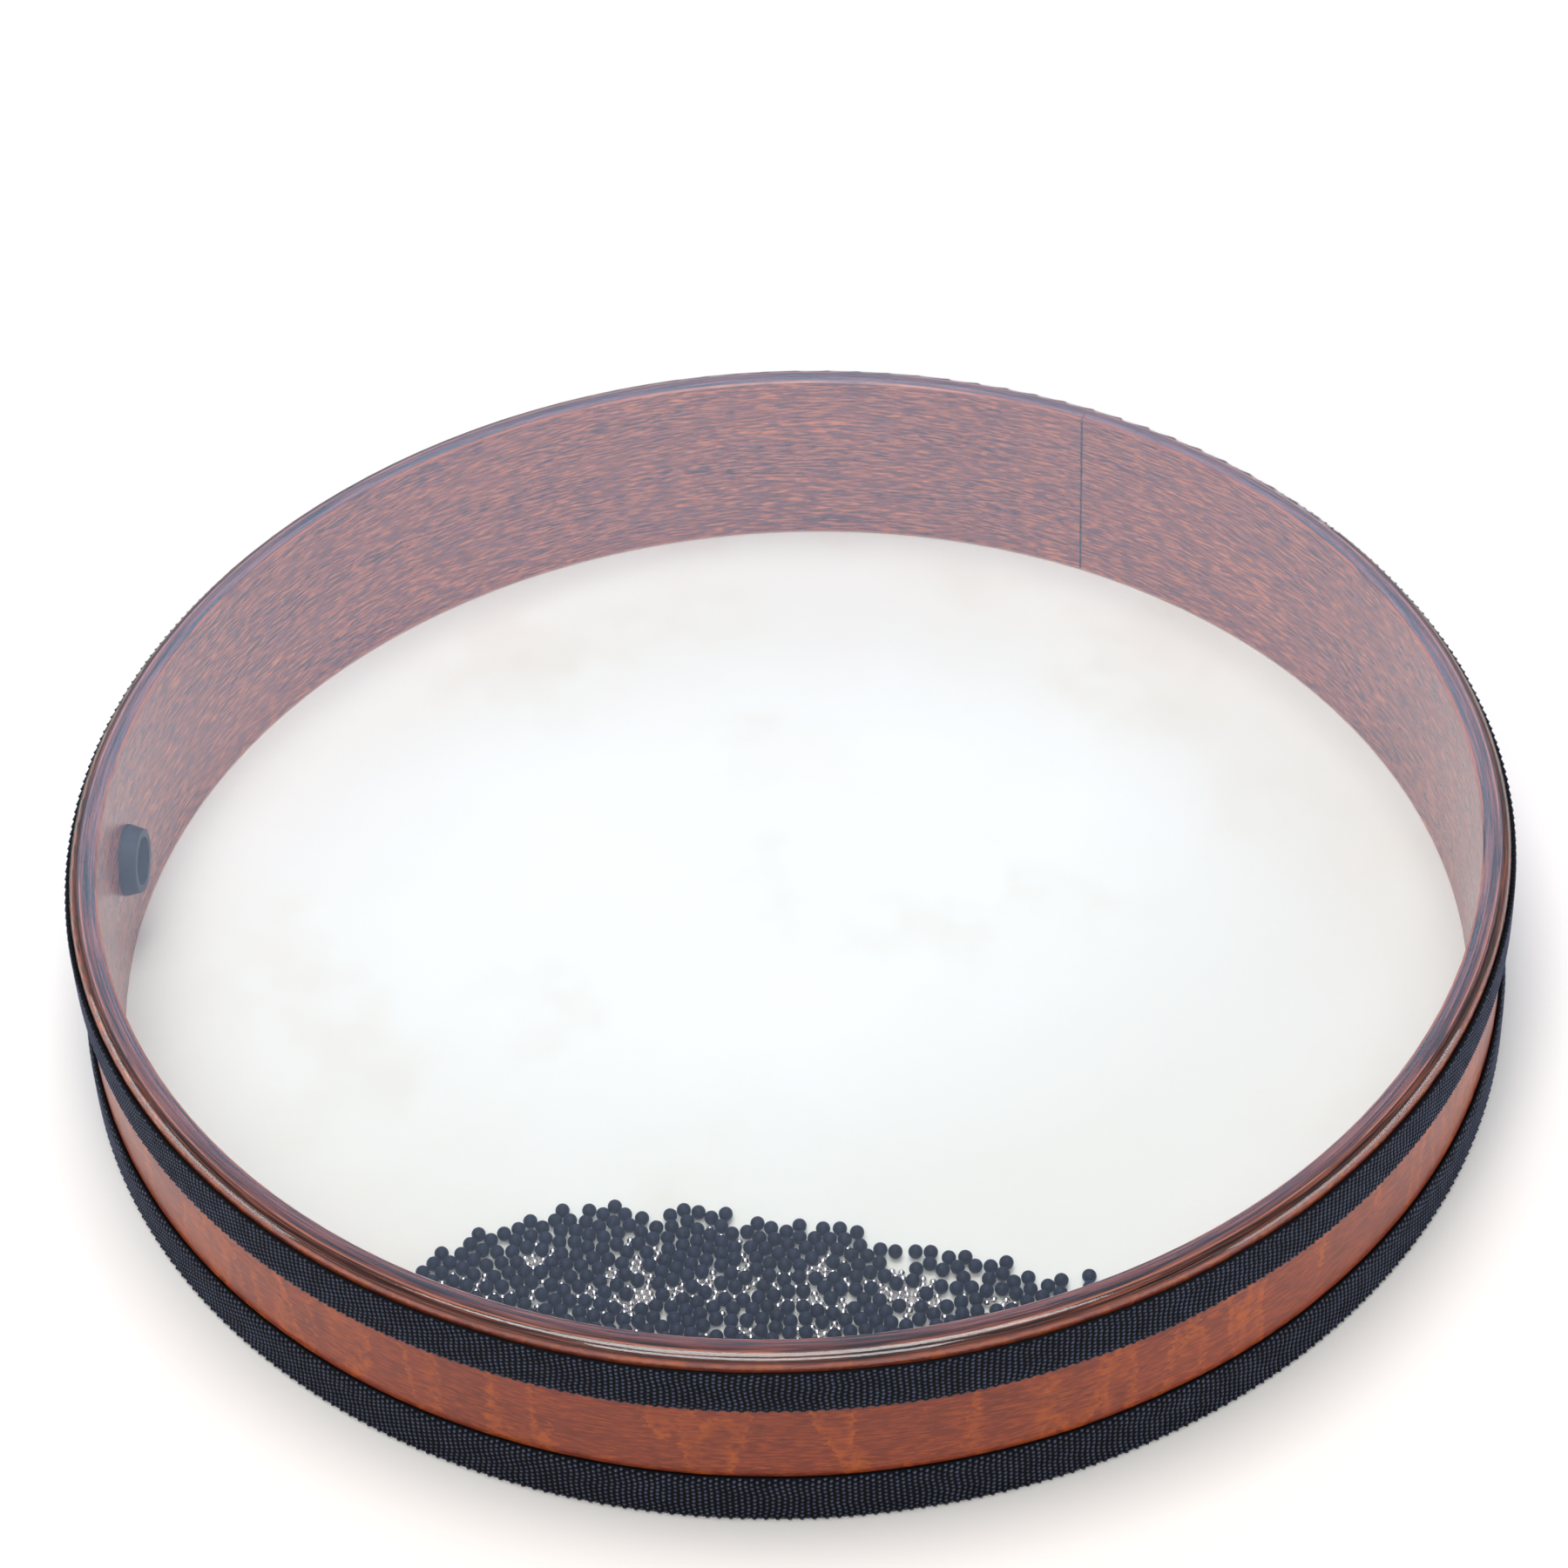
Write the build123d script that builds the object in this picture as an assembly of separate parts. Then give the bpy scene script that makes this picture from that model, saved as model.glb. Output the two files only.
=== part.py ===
from build123d import *
import math
import os

import numpy as np

# Ocean drum: a bent three-ply wooden hoop with a clear film head above, an opaque skin head below,
# a woven tape over the edge of each head, a filler plug in the hoop's side, and beads and steel
# shot loose on the skin. Millimetres, +Z up, origin at the middle of the skin's underside.
# The plug is on the -X side.

# Overall width, over the lower tape
drum_diameter = 406.4

# Heights, from the floor up: the lower tape, the bare wood between the tapes, the upper tape,
# and the strip of rim that shows above it. The clear film lies over the rim.
lower_tape_lift = 0.5
tape_width = 16.0
bare_band = 26.0
rim_reveal = 3.0

# Heads
film_thickness = 0.3
skin_thickness = 0.5
hem_cover = 1.6  # how far a tape reaches past the hem of its head

# Tapes
tape_thickness = 1.5
tape_edge_round = 0.4
tape_joint_gap = 0.8
upper_tape_joint_angle = 112.0
lower_tape_joint_angle = 126.0

# Hoop: three bent plies, each with a butt seam
outer_ply_thickness = 3.1
core_ply_thickness = 2.1
inner_ply_thickness = 2.5
rim_round = 3.0
foot_round = 1.5
inner_edge_chamfer = 0.6
ply_seam_gap = 0.25
outer_ply_seam_angle = 130.0
core_ply_seam_angle = 190.0
inner_ply_seam_angle = 67.5

# Filler plug: a rubber bung with a tapered, hollow nose and a flange that follows the hoop
plug_angle = 180.0
flange_clearance = 1.0  # from the flange to the edge of each tape
flange_lip = 1.5  # how far the flange reaches past its hole
flange_thickness = 1.6
flange_edge_round = 0.5
flange_seat_gap = 0.1
plug_hole_clearance = 0.1
plug_wall = 3.4
plug_floor = 5.0
plug_reach = 5.0  # how far the nose stands out inside the hoop
nose_taper_length = 4.0
nose_inset = 1.15

# Beads and shot, lying in one layer on the skin
black_bead_diameter = 4.0
steel_shot_diameter = 2.0
black_bead_count = 400
steel_shot_count = 290
fill_lift = 0.3  # room under each bead
fill_gap = 0.12  # room between beads
fill_seed = 5
sliding_steps = 200
slide_per_step = 0.02
resting_steps = 2000
pairing_steps = 20
settling_push = 0.35

# The bank that they form: a low heap with its longer slope towards the drum's middle
bank_direction = -84.7
bank_length = 222.0
bank_wall_distance = 68.5  # from the hoop's inside to the line along the middle of the bank
bank_rise = 25.0  # from that line to the inner edge
bank_lean = 28.0  # how much further the inner edge bulges at one end
bank_drop = 28.0  # from that line to the edge near the hoop
bank_ripple = 1.5
bank_ripple_length = 37.0
bead_border = 9.0  # strip along the inner edge that holds few shot
pocket_spacing = 26.0  # between pockets of shot

# Heights that follow
floor_top = skin_thickness
lower_tape_top = lower_tape_lift + tape_width
upper_tape_bottom = lower_tape_top + bare_band
upper_tape_top = upper_tape_bottom + tape_width
hoop_bottom = skin_thickness
hoop_top = upper_tape_top + rim_reveal
film_hem = upper_tape_bottom + hem_cover
skin_hem = lower_tape_top - hem_cover

# Radii that follow
hoop_outer = drum_diameter / 2 - tape_thickness - skin_thickness
core_outer = hoop_outer - outer_ply_thickness
core_inner = core_outer - core_ply_thickness
hoop_inner = core_inner - inner_ply_thickness

# Plug sizes that follow
plug_height = (lower_tape_top + upper_tape_bottom) / 2
flange_radius = bare_band / 2 - flange_clearance
hole_radius = flange_radius - flange_lip
plug_radius = hole_radius - plug_hole_clearance
nose_radius = plug_radius - nose_inset
bore_radius = plug_radius - plug_wall


def ring_section(inner, outer, bottom, top):
    """A rectangle in radius and height."""
    return Pos((inner + outer) / 2, (bottom + top) / 2) * Rectangle(outer - inner, top - bottom)


def at_corner(section, radius, height):
    """The corner of a section nearest to a radius and height."""
    corner = Vector(radius, height)
    return section.vertices().sort_by_distance(corner)[0]


def turned(section):
    """A section turned right round the drum's axis."""
    return revolve(Plane.XZ * section, Axis.Z)


def hoop_of(section, joint_angle, joint_gap, joint_radius):
    """A section turned round the drum's axis, with a butt joint left open at one angle."""
    open_angle = math.degrees(joint_gap / joint_radius)
    strip = revolve(Plane.XZ * section, Axis.Z, 360 - open_angle)
    return Rot(0, 0, joint_angle + open_angle / 2) * strip


def hoop_section():
    """The whole wall of the hoop: round outside at rim and foot, chamfered inside."""
    wall = ring_section(hoop_inner, hoop_outer, hoop_bottom, hoop_top)
    wall = fillet(at_corner(wall, hoop_outer, hoop_top), rim_round)
    wall = fillet(at_corner(wall, hoop_outer, hoop_bottom), foot_round)
    wall = chamfer(at_corner(wall, hoop_inner, hoop_top), inner_edge_chamfer)
    return chamfer(at_corner(wall, hoop_inner, hoop_bottom), inner_edge_chamfer)


def head_section(thickness, seat, corner_round, hem, side):
    """A head drawn flat over a hoop edge at height seat and turned along the hoop to its hem.

    side is 1 for a head on top and -1 for one underneath.
    """
    outside = hoop_outer + thickness
    face = seat + side * thickness
    bend = hoop_outer - corner_round
    bend_height = seat - side * corner_round
    under = Line((0, seat), (bend, seat))
    inner_bend = RadiusArc(under @ 1, (hoop_outer, bend_height), side * corner_round)
    inner_skirt = Line(inner_bend @ 1, (hoop_outer, hem))
    hem_edge = Line(inner_skirt @ 1, (outside, hem))
    outer_skirt = Line(hem_edge @ 1, (outside, bend_height))
    outer_bend = RadiusArc(outer_skirt @ 1, (bend, face), -side * (corner_round + thickness))
    over = Line(outer_bend @ 1, (0, face))
    middle = Line(over @ 1, (0, seat))
    edges = [under, inner_bend, inner_skirt, hem_edge, outer_skirt, outer_bend, over, middle]
    return make_face(edges)


def tape(inside, bottom, joint_angle):
    """A woven tape glued round the hoop, its ends butted."""
    outside = inside + tape_thickness
    section = ring_section(inside, outside, bottom, bottom + tape_width)
    for height in (bottom, bottom + tape_width):
        section = fillet(at_corner(section, outside, height), tape_edge_round)
    return hoop_of(section, joint_angle, tape_joint_gap, inside)


def along_plug(shape):
    """Stands a shape modelled on the drum's axis along the plug's axis, pointing outwards."""
    return Pos(0, 0, plug_height) * Rot(0, 0, plug_angle) * Rot(0, 90, 0) * shape


def plug():
    """The filler plug, pushed home."""
    tip = hoop_inner - plug_reach
    seat = hoop_outer + flange_seat_gap
    face = seat + flange_thickness
    shoulder = tip + nose_taper_length
    corners = [(bore_radius, tip), (nose_radius, tip), (plug_radius, shoulder), (plug_radius, face),
               (0, face), (0, hoop_outer - plug_floor), (bore_radius, hoop_outer - plug_floor)]
    stem = along_plug(turned(make_face(Polyline(*corners, close=True))))
    blank = along_plug(turned(ring_section(0, flange_radius, hoop_inner, face)))
    tall = 2 * hoop_top
    flange = blank - Cylinder(seat, tall)
    bung = (flange + stem) & Cylinder(face, tall)
    rims = bung.edges().filter_by(lambda edge: abs(edge.length - 2 * math.pi * flange_radius) < flange_lip)
    outermost = rims.sort_by(lambda edge: edge.distance_to(Vertex(0, 0, plug_height)))[-1]
    return fillet(outermost, flange_edge_round)


def bank_edges(along):
    """Heights across the bank of its two edges, at a share of its half length."""
    swell = 1 - along ** 2
    ripple = bank_ripple * np.sin(math.pi * bank_length * along / bank_ripple_length)
    inner_edge = swell * (bank_rise - bank_lean * along + ripple)
    outer_edge = -swell * bank_drop
    return outer_edge, inner_edge


def kept_inside(places, radii):
    """Moves places, along and across the bank, back inside its outer edge, its ends and the hoop."""
    half = bank_length / 2
    along = np.clip(places[:, 0], -half, half)
    outer_edge, _ = bank_edges(along / half)
    across = np.maximum(places[:, 1], outer_edge)
    outwards = hoop_inner - bank_wall_distance - across
    limit = hoop_inner - radii - fill_gap
    pull = np.minimum(1, limit / np.hypot(along, outwards))
    return np.column_stack([along * pull, hoop_inner - bank_wall_distance - outwards * pull])


def scattered(rng, count, wanted):
    """Random places in the bank, the first that wanted accepts."""
    half = bank_length / 2
    kept = np.empty((0, 2))
    while len(kept) < count:
        along = rng.uniform(-1, 1, count)
        across = rng.uniform(-bank_drop, bank_rise + bank_lean, count)
        outer_edge, inner_edge = bank_edges(along)
        inside = (across > outer_edge) & (across < inner_edge)
        good = inside & wanted(along * half, across, inner_edge - across)
        kept = np.vstack([kept, np.column_stack([along * half, across])[good]])
    return kept[:count]


def anywhere(along, across, depth):
    return np.ones(len(along), bool)


def in_pocket(along, across, depth):
    """Shot gathers in pockets behind the border of beads."""
    turn = 2 * math.pi / pocket_spacing
    wave = np.sin(turn * along + np.cos(turn * across)) + np.sin(turn * across + 1)
    return (depth > bead_border) & (wave > 0)


def spacing(places):
    """Distances in plan between all places, each place far from itself."""
    apart = places[:, None] - places[None]
    return np.hypot(apart[..., 0], apart[..., 1]) + np.eye(len(places)) * bank_length


def pushed_apart(places, reach, one, other):
    """Places after pairs that are closer than their reach have moved a little apart."""
    apart = places[one] - places[other]
    distance = np.hypot(apart[:, 0], apart[:, 1])
    push = settling_push * np.clip(reach[one, other] / distance - 1, 0, None)
    moved = places.copy()
    np.add.at(moved, one, apart * push[:, None])
    np.add.at(moved, other, -apart * push[:, None])
    return moved


def settled_fill():
    """Places and radii of beads and shot that slid down their slope until they lay side by side."""
    rng = np.random.default_rng(fill_seed)
    beads = scattered(rng, black_bead_count, anywhere)
    shot = scattered(rng, steel_shot_count, in_pocket)
    places = np.vstack([beads, shot])
    radii = np.repeat([black_bead_diameter / 2, steel_shot_diameter / 2], [len(beads), len(shot)])
    centre_drop = np.subtract.outer(radii, radii)
    reach = np.sqrt((np.add.outer(radii, radii) + fill_gap) ** 2 - centre_drop ** 2)
    for step in range(sliding_steps + resting_steps):
        if step % pairing_steps == 0:
            near = spacing(places) < reach + steel_shot_diameter
            one, other = np.nonzero(np.triu(near))
        if step < sliding_steps:
            places[:, 1] -= slide_per_step
        places = kept_inside(pushed_apart(places, reach, one, other), radii)
    clash = spacing(places) < reach - fill_gap / 2
    while clash.any():
        worst = clash.sum(axis=1).argmax()
        places = np.delete(places, worst, 0)
        radii = np.delete(radii, worst)
        clash = np.delete(np.delete(clash, worst, 0), worst, 1)
    return places, radii


def balls(places, diameter):
    """Balls on the skin, at places along and across the bank."""
    heading = math.radians(bank_direction)
    outwards = Vector(math.cos(heading), math.sin(heading))
    sideways = outwards.rotate(Axis.Z, 90)
    height = Vector(0, 0, floor_top + fill_lift + diameter / 2)
    ball = Sphere(diameter / 2)
    spots = [sideways * along + outwards * (hoop_inner - bank_wall_distance - across) + height
             for along, across in places.tolist()]
    return Compound([Pos(spot) * ball for spot in spots])


# The hoop's plies, bored for the plug
hoop_wall = hoop_section()
plug_hole = along_plug(turned(ring_section(0, hole_radius, hoop_inner - plug_reach, hoop_outer + plug_reach)))


def ply(inner, outer, seam_angle):
    section = hoop_wall & ring_section(inner, outer, hoop_bottom, hoop_top)
    return hoop_of(section, seam_angle, ply_seam_gap, outer) - plug_hole


fill_places, fill_radii = settled_fill()
black = fill_radii > steel_shot_diameter / 2

nodes = {
    "shell_outer_ply": ply(core_outer, hoop_outer, outer_ply_seam_angle),
    "shell_core_ply": ply(core_inner, core_outer, core_ply_seam_angle),
    "shell_inner_ply": ply(hoop_inner, core_inner, inner_ply_seam_angle),
    "clear_head": turned(head_section(film_thickness, hoop_top, rim_round, film_hem, 1)),
    "skin_head": turned(head_section(skin_thickness, hoop_bottom, foot_round, skin_hem, -1)),
    "top_tape": tape(hoop_outer + film_thickness, upper_tape_bottom, upper_tape_joint_angle),
    "bottom_tape": tape(hoop_outer + skin_thickness, lower_tape_lift, lower_tape_joint_angle),
    "filler_plug": plug(),
    "black_beads": balls(fill_places[black], black_bead_diameter),
    "steel_shot": balls(fill_places[~black], steel_shot_diameter),
}

os.makedirs("parts", exist_ok=True)
for name, shape in nodes.items():
    export_step(shape, f"parts/{name}.step")
    print(name, len(shape.solids()), "solids", round(shape.volume, 1), "mm3")
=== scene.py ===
# %% [markdown]
# # An ocean drum, dressed in Blender
# An ocean drum is a shallow wooden hoop with a skin drawn over one side and a clear film over the other.
# Loose beads and steel shot roll about between the two and sound like surf. The CAD model already has every
# shape to size, so this lesson loads it as a fixed frame and gives each piece its looks: stained wood,
# stretched film, skin, woven tape, rubber, plastic and steel.

# %% The frame
import math

import bmesh
import bpy
from mathutils import Matrix, Vector, noise


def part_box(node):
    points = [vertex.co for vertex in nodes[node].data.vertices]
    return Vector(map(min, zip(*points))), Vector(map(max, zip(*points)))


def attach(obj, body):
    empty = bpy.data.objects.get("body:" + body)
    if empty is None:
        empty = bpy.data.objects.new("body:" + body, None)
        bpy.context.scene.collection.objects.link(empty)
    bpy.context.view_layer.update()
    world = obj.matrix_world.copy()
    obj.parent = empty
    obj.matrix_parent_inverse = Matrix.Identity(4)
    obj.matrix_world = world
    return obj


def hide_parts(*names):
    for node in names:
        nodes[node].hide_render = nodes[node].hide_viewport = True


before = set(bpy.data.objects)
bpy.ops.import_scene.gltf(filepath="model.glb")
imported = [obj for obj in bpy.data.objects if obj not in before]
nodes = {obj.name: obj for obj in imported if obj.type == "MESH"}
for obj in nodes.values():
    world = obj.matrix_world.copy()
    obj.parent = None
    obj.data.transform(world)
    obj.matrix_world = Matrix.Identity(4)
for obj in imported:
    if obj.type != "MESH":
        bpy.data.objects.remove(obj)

MM = 0.001
scene = bpy.context.scene
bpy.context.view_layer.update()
print("pieces from the CAD model:", ", ".join(sorted(nodes)))

# %% [markdown]
# ## Small tools
# Colours are picked as hex values, which are sRGB. Shaders add up light, so they need linear values, and
# one function turns the first into the second. Materials and Geometry Nodes are both trees of nodes. One
# function adds a node, sets its options and links its inputs. The kinds that come up most have short
# functions of their own, so that a tree reads as a list of what happens, one line for each node.

# %% Colour and node helpers
def linear(hex_code):
    """An sRGB hex colour as the linear red, green, blue and alpha that a shader works in."""
    parts = [int(hex_code[i:i + 2], 16) / 255 for i in (1, 3, 5)]
    return [c / 12.92 if c <= 0.04045 else ((c + 0.055) / 1.055) ** 2.4 for c in parts] + [1.0]


def add(tree, kind, inputs=None, stops=None, **options):
    """Adds a node. inputs maps a socket's name or number to a value, a socket, or a node, whose first output
    is taken. stops are a colour ramp's places and colours."""
    node = tree.nodes.new(kind)
    for name, value in options.items():
        setattr(node, name, value)
    in_use = [socket for socket in node.inputs if socket.enabled]
    for key, value in (inputs or {}).items():
        socket = node.inputs[key] if isinstance(key, int) else next(s for s in in_use if s.name == key)
        if isinstance(value, bpy.types.Node):
            value = next(s for s in value.outputs if s.enabled)
        if isinstance(value, bpy.types.NodeSocket):
            tree.links.new(value, socket)
        else:
            socket.default_value = value
    if stops:
        ramp = node.color_ramp.elements
        while len(ramp) < len(stops):
            ramp.new(1.0)
        for element, (place, colour) in zip(ramp, stops):
            element.position, element.color = place, colour
    return node


def maths(tree, operation, *values, **options):
    """Arithmetic, such as MULTIPLY, on values that are numbers, sockets or nodes."""
    return add(tree, "ShaderNodeMath", dict(enumerate(values)), operation=operation, **options)


def vectors(tree, operation, *values):
    """The same for vectors."""
    return add(tree, "ShaderNodeVectorMath", dict(enumerate(values)), operation=operation)


def scaled(tree, vector, factor):
    """A vector made longer or shorter."""
    return add(tree, "ShaderNodeVectorMath", {0: vector, "Scale": factor}, operation="SCALE")


def mapped(tree, value, start, end, low=0.0, high=1.0):
    """Turns start into low and end into high, evenly between them, and goes no further outside them."""
    return add(tree, "ShaderNodeMapRange", {"Value": value, "From Min": start, "From Max": end,
                                            "To Min": low, "To Max": high})


def mixed(tree, share, first, second):
    """The first colour with a share of the second in it."""
    return add(tree, "ShaderNodeMix", {"Factor": share, "A": first, "B": second}, data_type="RGBA")


def mottled(tree, place, size, detail, roughness=0.5):
    """Noise in patches of about this size."""
    return add(tree, "ShaderNodeTexNoise", {"Vector": place, "Scale": 1 / size, "Detail": detail,
                                            "Roughness": roughness})


def squeezed(tree, place, around, upwards):
    """Place, scaled so that noise of size 1 comes out this long round the hoop and this high."""
    return add(tree, "ShaderNodeMapping", {"Vector": place, "Scale": (1 / around, 1 / around, 1 / upwards)})


def shaded(tree, level, *stops):
    """A colour ramp. Each stop is a level and its hex colour."""
    linear_stops = [(place, linear(colour)) for place, colour in stops]
    return add(tree, "ShaderNodeValToRGB", {"Fac": level}, linear_stops)


def principled(tree, inputs):
    """Ends a material's tree with a Principled surface."""
    surface = add(tree, "ShaderNodeBsdfPrincipled", inputs)
    add(tree, "ShaderNodeOutputMaterial", {"Surface": surface})


def new_finish(name):
    """An empty material and its tree."""
    finish = bpy.data.materials.new(name)
    finish.use_nodes = True
    finish.node_tree.nodes.clear()
    return finish, finish.node_tree


def wear(node_name, finish):
    """Puts a finish on a CAD node in place of its plain colour."""
    materials = nodes[node_name].data.materials
    materials.clear()
    materials.append(finish)
    print(f"{node_name} wears {finish.name}")


WHITE, BLACK = (1, 1, 1, 1), (0, 0, 0, 1)

# %% [markdown]
# ## Camera
# The drum lies flat. The camera looks down on it at about forty-three degrees, from far enough away that
# the hoop hardly narrows towards the back. A long lens and the measured place of the eye give that view.
# The eye leans by three degrees, so the camera's matrix is written out from its directions in place of
# aiming it at a target.

# %% Camera
eye = Vector((119.03, -907.66, 919.23)) * MM
eye_right = Vector((0.99464, 0.09662, -0.03676))
eye_up = Vector((-0.03899, 0.68003, 0.73215))
eye_turn = Matrix((eye_right, eye_up, eye_right.cross(eye_up))).transposed()
camera = bpy.data.objects.new("camera", bpy.data.cameras.new("camera"))
scene.collection.objects.link(camera)
camera.matrix_world = Matrix.Translation(eye) @ eye_turn.to_4x4()
camera.data.sensor_width = 36
camera.data.lens = 102.64
camera.data.clip_start, camera.data.clip_end = 0.01, 50
scene.camera = camera
print(f"camera {eye.length:.2f} m from the drum, {camera.data.lens:.1f} mm lens")

# %% [markdown]
# ## Floor and light
# A plain pale floor and soft light, as in a small studio. A wide panel hangs overhead and lights the skin
# evenly, and another stands above and behind the eye. Each draws a bright line along the rounded rim, with
# a dark line between. Two low panels stand at the sides, and where the hoop turns away to the left and the
# right, its lacquer is pale with their light. Behind the drum is a wide, cool window: the film mirrors it
# towards the eye, and that is the milky veil over the inside of the hoop. The window fades upwards, so the
# front of the film stays clear, and the rest of the room is dim.

# %% Floor
floor_half, floor_drop, paper_patch = 12.0, 0.3 * MM, 1 / 3
floor_mesh = bpy.data.meshes.new("floor")
corners = [(x * floor_half, y * floor_half, -floor_drop) for x, y in ((-1, -1), (1, -1), (1, 1), (-1, 1))]
floor_mesh.from_pydata(corners, [], [(0, 1, 2, 3)])
floor = bpy.data.objects.new("floor", floor_mesh)
scene.collection.objects.link(floor)
paper, tree = new_finish("matt_white_paper")
place = add(tree, "ShaderNodeTexCoord").outputs["Object"]
cloud = mottled(tree, place, paper_patch, 2.0)
tone = shaded(tree, cloud, (0.3, "#faf8f4"), (0.7, "#fcfaf6"))
principled(tree, {"Base Color": tone, "Roughness": 0.9, "Specular IOR Level": 0.1})
floor_mesh.materials.append(paper)

# %% World
# The window's brightness by the sine of the height above the horizon.
window_levels = ((0.3, 0.05), (0.56, 0.9), (0.66, 0.95), (0.72, 0.5), (0.80, 0.06), (1.0, 0.0))
# In unit directions: how far it is set to the left, and how far from its middle it is full and ends.
window_shift, window_full, window_end = 0.08, 0.25, 0.55
# How far behind the drum it begins and is full.
behind_from, behind_full = 0.05, 0.4
window_light = (1.95, 2.45, 3.4, 1)
# The rest of the room, low down and high up.
room_levels = [(0.4, (0.4, 0.4, 0.42, 1)), (0.75, (0.1, 0.1, 0.11, 1))]
scene.view_settings.view_transform = "Standard"
scene.world = bpy.data.worlds.new("studio")
scene.world.use_nodes = True
room = scene.world.node_tree
room.nodes.clear()
towards = add(room, "ShaderNodeSeparateXYZ", {"Vector": add(room, "ShaderNodeTexCoord").outputs["Generated"]})
window = add(room, "ShaderNodeValToRGB", {"Fac": towards.outputs["Z"]},
             [(place, (level, level, level, 1)) for place, level in window_levels])
aside = maths(room, "ADD", towards.outputs["X"], window_shift)
aside = maths(room, "ABSOLUTE", aside)
within = mapped(room, aside, window_end, window_full)
behind = mapped(room, towards.outputs["Y"], behind_from, behind_full)
for share in (within, behind):
    window = maths(room, "MULTIPLY", window, share)
dim = add(room, "ShaderNodeValToRGB", {"Fac": towards.outputs["Z"]}, room_levels)
colour = mixed(room, window, dim, window_light)
glow = add(room, "ShaderNodeBackground", {"Color": colour, "Strength": 1.0})
add(room, "ShaderNodeOutputWorld", {"Surface": glow})


# %% Lights
def soft_panel(name, place, target, width, height, brightness, colour):
    """A rectangular light at place that faces target. Its power follows from its brightness and its area."""
    lamp = bpy.data.lights.new(name, "AREA")
    lamp.shape, lamp.size, lamp.size_y = "RECTANGLE", width, height
    lamp.energy = brightness * math.pi * width * height
    lamp.color = colour
    panel = bpy.data.objects.new(name, lamp)
    scene.collection.objects.link(panel)
    panel.location = place
    panel.rotation_euler = (Vector(target) - Vector(place)).to_track_quat("-Z", "Y").to_euler()
    panel.visible_camera = False
    print(f"{name}: {width} by {height} m, {lamp.energy:.0f} W")


drum_middle, warm_white = (0, 0, 0.03), (1.0, 0.99, 0.98)
soft_panel("overhead_panel", (-0.15, 0.2, 2.4), (0, 0, 0), width=1.5, height=1.15, brightness=6.0,
           colour=(1.0, 0.99, 0.975))
soft_panel("front_panel", (0.0, -1.35, 1.95), drum_middle, width=1.5, height=0.75, brightness=6.2,
           colour=warm_white)
for side, x in (("left", -1.25), ("right", 1.25)):
    soft_panel(side + "_panel", (x, -0.15, 0.25), drum_middle, width=1.0, height=0.45, brightness=3.4,
               colour=warm_white)

# %% [markdown]
# ## Stained wood
# The hoop is bent from three plies of a close-grained hardwood, stained red-brown and lacquered. Veneer is
# cut along the trunk, so its fibres run round the hoop. A noise that is stretched several millimetres
# round the hoop and squeezed to under a millimetre in height gives streaks that follow the fibres, and no
# picture of wood is needed. Where the fibres turn towards the surface, the stain shows brighter, in upright
# flames with one sharp edge. A line of equal value in a noise that is stretched upwards wanders in the same
# way.

# %% Grain of a stained ply
CLOUD_SIZE, PATCH_SIZE, FIBRE_HEIGHT = 11 * MM, 2.5 * MM, 0.6 * MM
BAND_LENGTH, BAND_HEIGHT, BAND_LEAST = 60 * MM, 7 * MM, 0.65
FLAME_WIDTH, FLAME_HEIGHT = 11 * MM, 60 * MM
RAG_LENGTH, RAG_HEIGHT, RAG_PULL = 4 * MM, 1.2 * MM, 6 * MM


def stained_grain(tree, place, colours, fibre_length, streak_share, flame_share):
    """Colour of stained veneer, its fibres and their bands. colours are the ground, its clouds, dark and
    bright fibres. The shares say how strongly streaks and flames show."""
    ground, clouds, dark, bright = (linear(c) for c in colours)
    # Clouds: patches where the ply took more of the stain.
    cloud = mottled(tree, place, CLOUD_SIZE, 4.0, 0.6)
    cloud = mapped(tree, cloud, 0.42, 0.66)
    tone = mixed(tree, cloud, ground, clouds)
    # Fibres: thin streaks, gathered in bands. Real fibres are finer, but would be lost between the pixels.
    fibre = squeezed(tree, place, fibre_length, FIBRE_HEIGHT)
    fibre = mottled(tree, fibre, 1.0, 2.0, 0.65)
    band = squeezed(tree, place, BAND_LENGTH, BAND_HEIGHT)
    band = mottled(tree, band, 1.0, 2.0)
    for edge, far, colour in ((0.50, 0.40, dark), (0.52, 0.64, bright)):
        streak = mapped(tree, fibre, edge, far, 0.0, streak_share)
        gathered = mapped(tree, band, edge, far, BAND_LEAST, 1.0)
        streak = maths(tree, "MULTIPLY", streak, gathered)
        tone = mixed(tree, streak, tone, colour)
    # Flames: lines of equal value in a field that is stretched upwards, ragged along the fibres and patchy.
    rag = squeezed(tree, place, RAG_LENGTH, RAG_HEIGHT)
    rag = mottled(tree, rag, 1.0, 3.0).outputs["Color"]
    rag = vectors(tree, "SUBTRACT", rag, (0.5, 0.5, 0.5))
    rag = scaled(tree, rag, RAG_PULL)
    upright = vectors(tree, "ADD", place, rag)
    upright = squeezed(tree, upright, FLAME_WIDTH, FLAME_HEIGHT)
    flame = mottled(tree, upright, 1.0, 1.0)
    flame = add(tree, "ShaderNodeValToRGB", {"Fac": flame}, [(0.50, BLACK), (0.52, WHITE), (0.64, BLACK)])
    patchy = mottled(tree, place, PATCH_SIZE, 3.0)
    patchy = mapped(tree, patchy, 0.36, 0.6, 0.0, flame_share)
    flame = maths(tree, "MULTIPLY", flame, patchy)
    tone = mixed(tree, flame, tone, bright)
    return tone, fibre, band


# %% [markdown]
# The rim took the most stain. Its top and its rounded corner are dark brown with nearly black streaks, and
# where sandpaper went over the corners of the plies, a thin broken line of pale wood shows. All of it
# follows the height and the distance from the drum's axis, which the Object coordinates give.

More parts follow.
